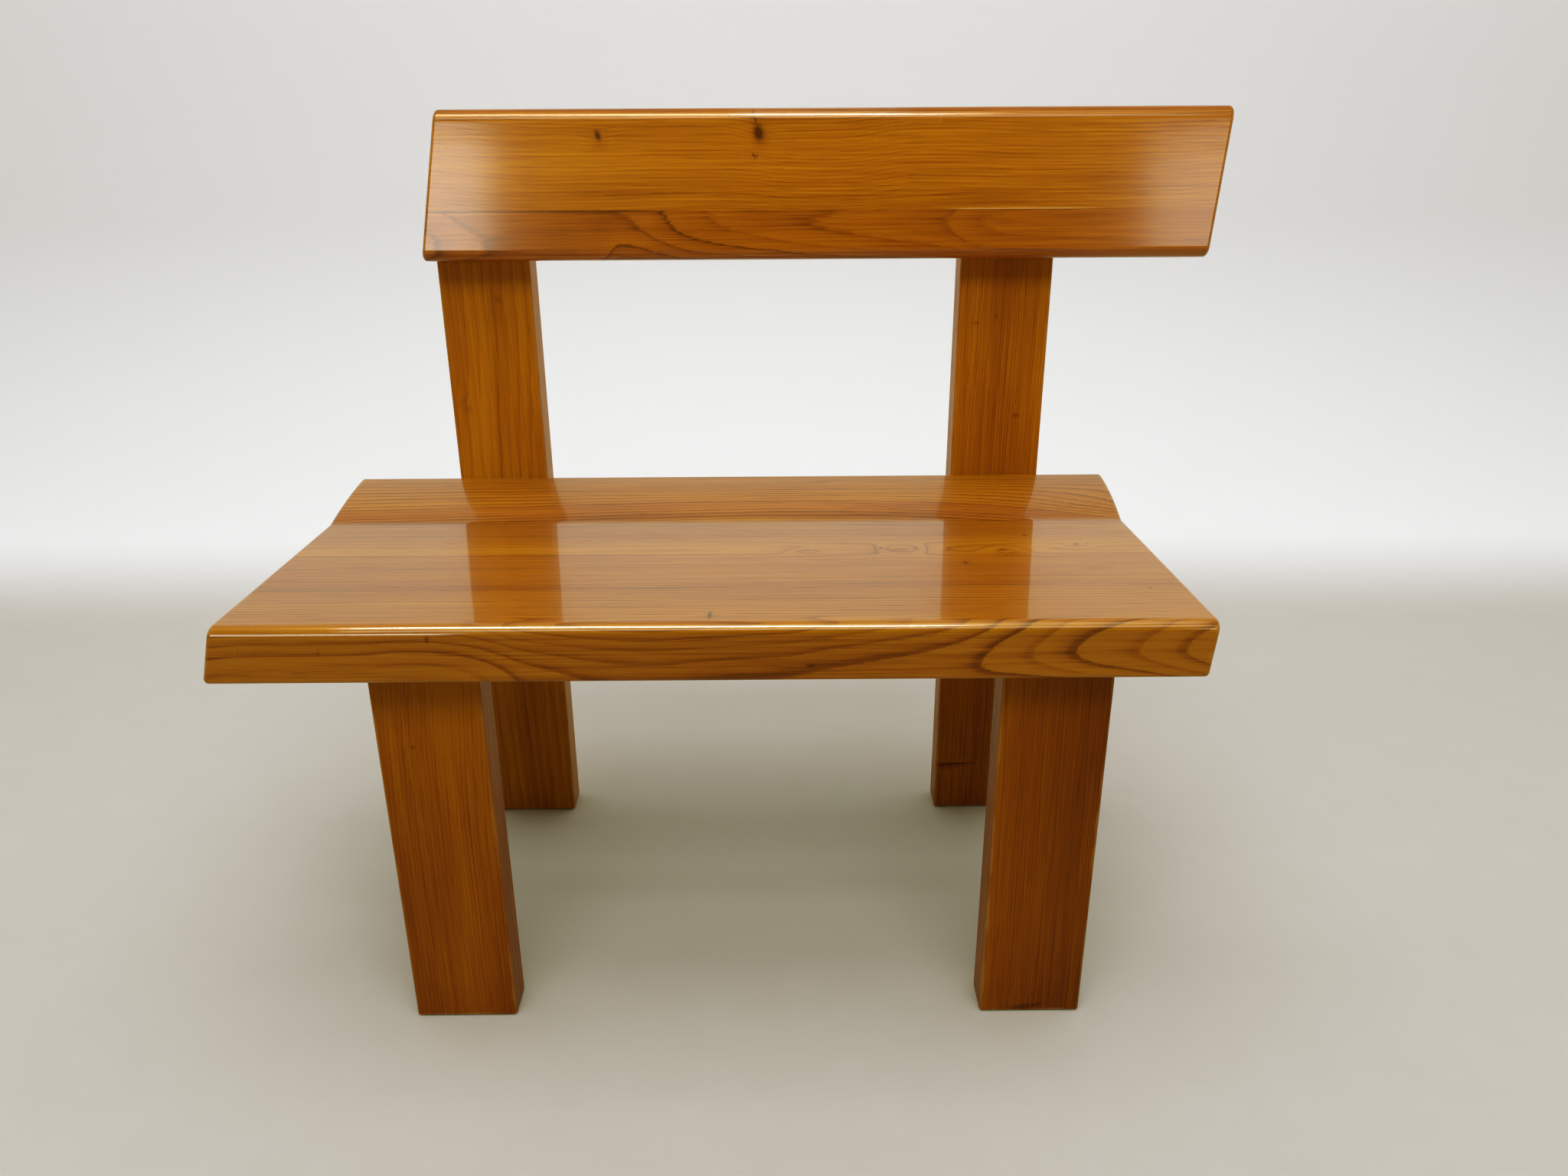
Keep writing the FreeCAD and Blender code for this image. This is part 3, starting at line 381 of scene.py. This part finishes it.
def upright(name, x0, x1, y0, y1, seed, turn, spacing, sway, tone, red, marks, palette, coat, late=0.16, edge=0.15, low=0.12):
    """A leg or post, with its grain upwards. tone gives (across, lighter or
    darker) points, which on the front legs also hold painted light and shade: the left leg
    lighter, the right leg darker. low darkens the lower part as painted shade. marks are
    (x, z, half-width, half-height, depth of colour, turn)."""
    g = Graph(name)
    x, y, z = g.millimetres()
    nx, ny, nz = g.facing()
    drift = g.noise((z * 0.0032, x * 0.013, y * 0.013), 1.0, 0.5, seed)
    wander = g.noise((z * 0.013, x * 0.06, y * 0.06), 1.0, 0.5, seed + 1)
    a = x - x0 + z.curve(sway) + drift * 9.0 + wander * 2.2
    knots = None
    for mx, mz, wide, high, strong, tilt in marks:
        k = spot(x, z, (mx, mz), (wide * 3.0 + 3.0, high * 3.0 + 6.0)) * (strong * 5.0)
        knots = k if knots is None else knots + k
    lead = a * math.cos(turn) + (y - y0) * math.sin(turn)
    if knots is not None:
        lead = lead + knots * y.step(y0 + 25.0, y0 + 3.0)
    rings = lead / spacing
    rings = rings + g.noise((rings * 0.2, z * 0.0006, y * 0.002), 0.0, 0.5, seed + 2) * 1.4
    # across the face; on the front legs this also paints light on the left leg and shade on the right one
    shade = a.curve(tone)
    dark = None
    for mx, mz, wide, high, strong, tilt in marks:
        k = spot(x, z, (mx, mz), (wide, high), tilt) * strong
        dark = k if dark is None else dark + k
    dark = dark * y.step(y0 + 10.0, y0 + 1.0) if dark is not None else 0.0
    # painted shade: each leg and post is darker towards the bottom, its lower part by low as if in the seat's shadow,
    # and a little more just above the floor
    foot = z.step(60.0, 0.0) * 0.05 + z.step(410.0, 120.0) * low
    gap_x = (x - x0).abs().least((x - x1).abs())
    gap_y = (y - y0).abs().least((y - y1).abs())
    worn = arris(g, gap_x, gap_y, 3.0, (x, y, z * 0.4), seed + 3) * 0.34
    nick = arris(g, gap_x.least(gap_y), (z - 1.5).abs(), 3.0, (x, y, z * 2.0), seed + 4) * 0.35
    return wood(g, rings, z, x, y, tone=shade + foot, red=red, dark=dark, end=nz.abs().step(0.6, 0.9), wear=worn.most(nick), palette=palette,
                seed=seed, late=late, edge=edge, fibre=0.55, pore=0.22, blotch=0.32, coat=coat, coat_rough=0.24, rough=0.46, wave=0.04, sheen=0.2)


def bearer(name, y0, y1, seed):
    g = Graph(name)
    x, y, z = g.millimetres()
    nx, ny, nz = g.facing()
    drift = g.noise((y * 0.004, x * 0.014, z * 0.014), 2.0, 0.5, seed)
    rings = (x * 0.55 + z * 0.8 + drift * 9.0) / 4.4
    return wood(g, rings, y, x, z, tone=0.05, red=0.4, palette=(TAWNY, RUSSET), end=ny.abs().step(0.6, 0.9), seed=seed, late=0.2, edge=0.18,
                coat=0.3, coat_rough=0.25, rough=0.45)


def end_grain(name, seed):
    """Wood plugs, cut across the grain and varnished over."""
    g = Graph(name)
    x, y, z = g.millimetres()
    warp = g.noise((x * 0.05, y * 0.05, z * 0.05), 2.0, 0.5, seed)
    rings = (x * 0.8 + z * 0.45 + warp * 5.0) / 1.9
    f = rings.fract()
    pores = g.noise((x * 1.9, y * 0.1, z * 1.9), 2.0, 0.6, seed + 1).step(0.06, 0.22)
    m = f.step(0.2, 0.95) * f.step(1.0, 0.95) * 0.35 + pores * 0.3 + warp * 0.3 + 0.32
    colour = g.ramp(m.clamp(), TAWNY)
    return g.finish(colour, pores * 0.15 + 0.4, g.bump(pores * -0.5 + f * 0.1, 0.2, 0.0003), Coat_Weight=0.35, Coat_Roughness=0.22,
                    Specular_IOR_Level=0.15)


def raw_dowel():
    g = Graph("beech_dowel")
    x, y, z = g.millimetres()
    flecks = g.noise((x * 0.9, y * 0.9, z * 0.35), 3.0, 0.6, 61).step(0.05, 0.25)
    tone = g.noise((x * 0.02, y * 0.05, z * 0.05), 2.0, 0.5, 62)
    colour = g.ramp((flecks * 0.4 + tone * 0.7 + 0.35).clamp(), [(0.0, (0.74, 0.55, 0.35)), (0.6, (0.62, 0.42, 0.24)), (1.0, (0.42, 0.26, 0.13))])
    return g.finish(colour, tone * 0.1 + 0.62, g.bump(flecks, 0.25, 0.0003), Specular_IOR_Level=0.3)


def zinc():
    g = Graph("zinc_plated_steel")
    x, y, z = g.millimetres()
    grime = g.noise((x * 0.35, y * 0.35, z * 0.35), 3.0, 0.6, 71)
    turned = g.noise((x * 0.4, y * 3.0, z * 3.0), 2.0, 0.5, 72)
    colour = g.ramp((grime + 0.5).clamp(), [(0.25, (0.40, 0.38, 0.33)), (0.6, (0.60, 0.58, 0.53)), (0.9, (0.70, 0.68, 0.62))])
    return g.finish(colour, grime * 0.3 + 0.36, g.bump(turned, 0.12, 0.0002), Metallic=1.0)


def felt():
    g = Graph("pressed_felt")
    x, y, z = g.millimetres()
    fuzz = g.noise((x * 1.6, y * 1.6, z * 2.2), 4.0, 0.7, 81)
    hairs = g.noise((x * 0.5, y * 3.0, z * 3.0), 2.0, 0.6, 82)
    dust = g.noise((x * 0.05, y * 0.05, z * 0.4), 2.0, 0.5, 83)
    colour = g.ramp((fuzz * 0.9 + hairs * 0.5 + dust * 0.5 + 0.5).clamp(), [(0.1, (0.035, 0.031, 0.027)), (0.55, (0.085, 0.077, 0.067)), (1.0, (0.19, 0.175, 0.155))])
    return g.finish(colour, fuzz * 0.1 + 0.92, g.bump(fuzz + hairs * 0.6, 0.7, 0.0006), Specular_IOR_Level=0.1, Sheen_Weight=0.35, Sheen_Roughness=0.6)


def give(node, material):
    data = NODES[node].data
    data.materials.clear()
    data.materials.append(material)


give("seat_front_board", seat_front())
give("seat_rear_board", seat_rear())
give("backrest_upper_board", backrest_upper())
give("backrest_lower_board", backrest_lower())
give("front_left_leg", upright("elm_front_left_leg", -356, -256, -188, -148, 101, 0.35, 3.6,
     [(0, 6), (200, 4), (300, 0), (400, -9)],
     [(-10, -0.12), (15, -0.14), (40, -0.16), (58, -0.20), (68, -0.26), (78, -0.21), (92, -0.15), (110, -0.11)], 0.6,
     [(-323.3, 310, 1.2, 1.4, 0.6, 0.0), (-292, 226, 0.9, 1.1, 0.3, 0.0)], (TAWNY, RUSSET), 0.06, low=0.25))
give("front_right_leg", upright("elm_front_right_leg", 210, 310, -188, -148, 111, 0.2, 3.3,
     [(0, -4), (200, 0), (400, 6)],
     [(-10, -0.06), (3, -0.06), (12, 0.0), (25, 0.05), (45, 0.11), (62, 0.16), (74, 0.21), (80, 0.29), (86, 0.20), (100, 0.19), (112, 0.16)], 0.75,
     [(252, 6, 13, 2.6, 0.45, 0.2), (268, 9, 5, 1.6, 0.3, 0.5)], (TAWNY, RUSSET), 0.06))
give("rear_left_post", upright("elm_rear_left_post", -356, -256, 187, 227, 121, 1.15, 4.6,
     [(0, 0), (420, 5), (560, 0), (660, -4), (760, 4)],
     [(-10, 0.13), (10, 0.09), (30, -0.01), (45, 0.09), (60, 0.11), (80, 0.03), (100, 0.09), (112, 0.11)], 0.30,
     [(-294, 653, 4.2, 5.0, 0.22, 0.6), (-299, 640, 8, 16, 0.10, 0.2), (-338, 531, 4.5, 3.2, 0.20, 0.5), (-344, 540, 3, 6, 0.12, -0.5)], (HONEY, ROSY), 0.14))
give("rear_right_post", upright("elm_rear_right_post", 210, 310, 187, 227, 131, 0.1, 2.9,
     [(0, 2), (400, 5), (620, 0), (760, -4)],
     [(-10, 0.12), (10, 0.10), (30, 0.13), (50, 0.19), (70, 0.15), (88, 0.10), (96, 0.0), (112, 0.04)], 0.6,
     [(230, 624, 3.2, 1.8, 0.30, 0.1), (281, 520, 4.0, 2.4, 0.32, 0.2), (252, 631, 2.0, 3.4, 0.22, 0.0), (232, 65, 22, 1.2, 0.60, 0.02), (222, 62, 16, 3.6, 0.28, 0.0)],
     (HONEY, ROSY), 0.10, 0.20, 0.24, low=0.22))
give("left_seat_bearer", bearer("elm_left_bearer", -166, 206, 141))
give("right_seat_bearer", bearer("elm_right_bearer", -166, 206, 151))
plug_end, dowel, steel, pad = end_grain("elm_plug_end_grain", 161), raw_dowel(), zinc(), felt()
for node in NODES:
    if node.endswith("_plugs"):
        give(node, plug_end)
    elif node.endswith("_dowels"):
        give(node, dowel)
    elif node.endswith("_screws"):
        give(node, steel)
    elif node.endswith("_foot_pad"):
        give(node, pad)


# ------------------------------------------------------- floor and back cloth
def backdrop():
    """A pale floor that sweeps up into a pale cloth well behind the bench."""
    profile = [(-9.5, 0.0), (1.7, 0.0)]
    turn = 0.55
    for i in range(1, 25):
        t = math.pi / 2 * i / 24
        profile.append((1.7 + turn * math.sin(t), turn - turn * math.cos(t)))
    profile.append((1.7 + turn, 4.2))
    verts, faces = [], []
    for y, z in profile:
        verts += [(-9.5, y, z), (9.5, y, z)]
    for i in range(len(profile) - 1):
        faces.append((2 * i, 2 * i + 1, 2 * i + 3, 2 * i + 2))
    mesh = bpy.data.meshes.new("floor_and_cloth")
    mesh.from_pydata(verts, [], faces)
    for p in mesh.polygons:
        p.use_smooth = True
    obj = bpy.data.objects.new("floor_and_cloth", mesh)
    scene.collection.objects.link(obj)
    g = Graph("pale_floor")
    x, y, z = g.millimetres()
    grain = g.noise((x * 0.02, y * 0.02, z * 0.02), 3.0, 0.6, 91)
    floor = g.ramp((grain * 0.5 + 0.5).clamp(), [(0.2, (0.50, 0.485, 0.455)), (0.8, (0.54, 0.525, 0.50))])
    colour = g.mix(y.step(760.0, 1250.0), floor, (0.88, 0.88, 0.87))
    # the far floor is kept from falling dark, so that it meets the screen softly
    far = (x * x + y * y).sqrt().step(2400.0, 7000.0) * y.step(1300.0, -200.0)
    mesh.materials.append(g.finish(colour, grain * 0.1 + 0.7, Specular_IOR_Level=0.2, Emission_Color=(0.98, 0.97, 0.95, 1.0),
                                   Emission_Strength=far * 0.20))
    g.material.cycles.emission_sampling = "NONE"


def surround(name, first, last, in_gloss):
    """Part of a pale round screen far off, which closes the other sides of the
    room and casts no light on the bench. first and last are turns in degrees."""
    steps, radius = 48, 9.3
    verts, faces = [], []
    for i in range(steps + 1):
        t = math.radians(first + (last - first) * i / steps)
        verts += [(radius * math.cos(t), radius * math.sin(t), -0.02), (radius * math.cos(t), radius * math.sin(t), 7.0)]
    for i in range(steps):
        faces.append((2 * i, 2 * i + 2, 2 * i + 3, 2 * i + 1))
    mesh = bpy.data.meshes.new(name)
    mesh.from_pydata(verts, [], faces)
    for p in mesh.polygons:
        p.use_smooth = True
    obj = bpy.data.objects.new(name, mesh)
    scene.collection.objects.link(obj)
    g = Graph(name)
    x, y, z = g.millimetres()
    glow = g.add("ShaderNodeEmission")
    g.plug(glow.inputs["Color"], g.ramp(z.step(0.0, 1900.0), [(0.0, (0.31, 0.305, 0.295)), (1.0, (0.56, 0.56, 0.56))]))
    out = g.add("ShaderNodeOutputMaterial")
    g.plug(out.inputs["Surface"], glow.outputs[0])
    g.material.cycles.emission_sampling = "NONE"
    mesh.materials.append(g.material)
    for rays in ("diffuse", "transmission", "volume_scatter", "shadow"):
        setattr(obj, "visible_" + rays, False)
    obj.visible_glossy = in_gloss


backdrop()
surround("right_screen", -28.0, 90.0, True)
surround("left_screen", 90.0, 208.0, True)
surround("front_screen", 208.0, 332.0, False)


# --------------------------------------------------------------------- light
def panel(name, at, toward, width, height, radiance, colour=(1.0, 1.0, 1.0)):
    """A rectangular light; radiance is how bright its face is."""
    data = bpy.data.lights.new(name, "AREA")
    data.shape = "RECTANGLE"
    data.size, data.size_y = width, height
    data.energy = radiance * math.pi * width * height
    data.color = colour
    obj = bpy.data.objects.new(name, data)
    obj.location = at
    obj.rotation_euler = (Vector(toward) - Vector(at)).to_track_quat("-Z", "Y").to_euler()
    scene.collection.objects.link(obj)
    return obj


panel("overhead_soft", (0.0, -0.35, 3.0), (0.0, -0.2, 0.0), 2.6, 1.4, 3.0)
panel("front_soft", (0.0, -2.1, 2.9), (0.0, 0.0, 0.5), 3.0, 0.9, 5.0)
panel("wall_wash", (0.0, 1.15, 3.1), (0.0, 2.3, 1.55), 16.0, 0.5, 2.75)
# a strip and two panels that only show as gloss: a line along the seat's nose
# and a sheen on the ends of the boards
for gloss in (panel("overhead_strip", (-0.3, -0.66, 2.7), (-0.1, -0.22, 0.44), 1.8, 0.45, 40.0, (1.0, 0.96, 0.88)),
              panel("left_panel", (-1.19, -2.0, 1.18), (-0.3, 0.1, 0.75), 0.78, 0.52, 11.0, (0.97, 0.985, 1.0)),
              panel("right_panel", (1.42, -2.0, 1.16), (0.3, 0.1, 0.75), 0.72, 0.48, 6.6, (0.98, 0.985, 1.0))):
    gloss.visible_diffuse = False

world = bpy.data.worlds.new("soft_room")
scene.world = world
world.use_nodes = True
world.cycles_visibility.glossy = False
tree = world.node_tree
tree.nodes.clear()
where = tree.nodes.new("ShaderNodeTexCoord")
split = tree.nodes.new("ShaderNodeSeparateXYZ")
tree.links.new(where.outputs["Generated"], split.inputs[0])


def fade(axis, start, end, strength):
    n = tree.nodes.new("ShaderNodeMapRange")
    n.interpolation_type = "SMOOTHSTEP"
    tree.links.new(split.outputs[axis], n.inputs[0])
    n.inputs[1].default_value, n.inputs[2].default_value, n.inputs[4].default_value = start, end, strength
    return n.outputs[0]


ceiling, behind = fade("Z", 0.25, 0.65, 0.5), fade("Y", 0.1, 0.6, 0.35)
shade = tree.nodes.new("ShaderNodeMath")
shade.operation = "MAXIMUM"
tree.links.new(ceiling, shade.inputs[0])
tree.links.new(behind, shade.inputs[1])
low = tree.nodes.new("ShaderNodeMath")
low.operation = "MAXIMUM"
tree.links.new(shade.outputs[0], low.inputs[0])
low.inputs[1].default_value = 0.04
light = tree.nodes.new("ShaderNodeBackground")
light.inputs["Color"].default_value = (0.93, 0.97, 1.0, 1.0)
tree.links.new(low.outputs[0], light.inputs["Strength"])
out = tree.nodes.new("ShaderNodeOutputWorld")
tree.links.new(light.outputs[0], out.inputs["Surface"])
scene.view_settings.view_transform = "Standard"
scene.view_settings.look = "None"
scene.view_settings.use_curve_mapping = True
tones = scene.view_settings.curve_mapping
for line, points in ((0, [(0.20, 0.205), (0.45, 0.475), (0.72, 0.735)]), (1, [(0.05, 0.045), (0.25, 0.247), (0.50, 0.505), (0.72, 0.725)]),
                     (2, [(0.03, 0.013), (0.08, 0.042), (0.17, 0.112), (0.40, 0.355), (0.70, 0.695)])):
    for point in points:
        tones.curves[line].points.new(*point)
tones.update()


# -------------------------------------------------------------------- camera
def camera():
    """Stands in front of the bench, just above the backrest, looking down."""
    pitch, yaw, roll = math.radians(22.390), math.radians(-0.2587), math.radians(-0.3039)
    right = Vector((1, 0, 0))
    ahead = Vector((0, math.cos(pitch), -math.sin(pitch)))
    up = Vector((0, math.sin(pitch), math.cos(pitch)))
    swing = Matrix.Rotation(yaw, 3, "Z")
    right, ahead, up = swing @ right, swing @ ahead, swing @ up
    right, up = math.cos(roll) * right + math.sin(roll) * up, math.cos(roll) * up - math.sin(roll) * right
    data = bpy.data.cameras.new("front_camera")
    data.sensor_width = 36.0
    data.lens = 1556.76 / 2048.0 * 36.0
    data.clip_end = 50.0
    obj = bpy.data.objects.new("front_camera", data)
    place = Matrix((right, up, -ahead)).transposed().to_4x4()
    place.translation = Vector((0.010877, -1.137029, 0.855353))
    obj.matrix_world = place
    scene.collection.objects.link(obj)
    scene.camera = obj


camera()
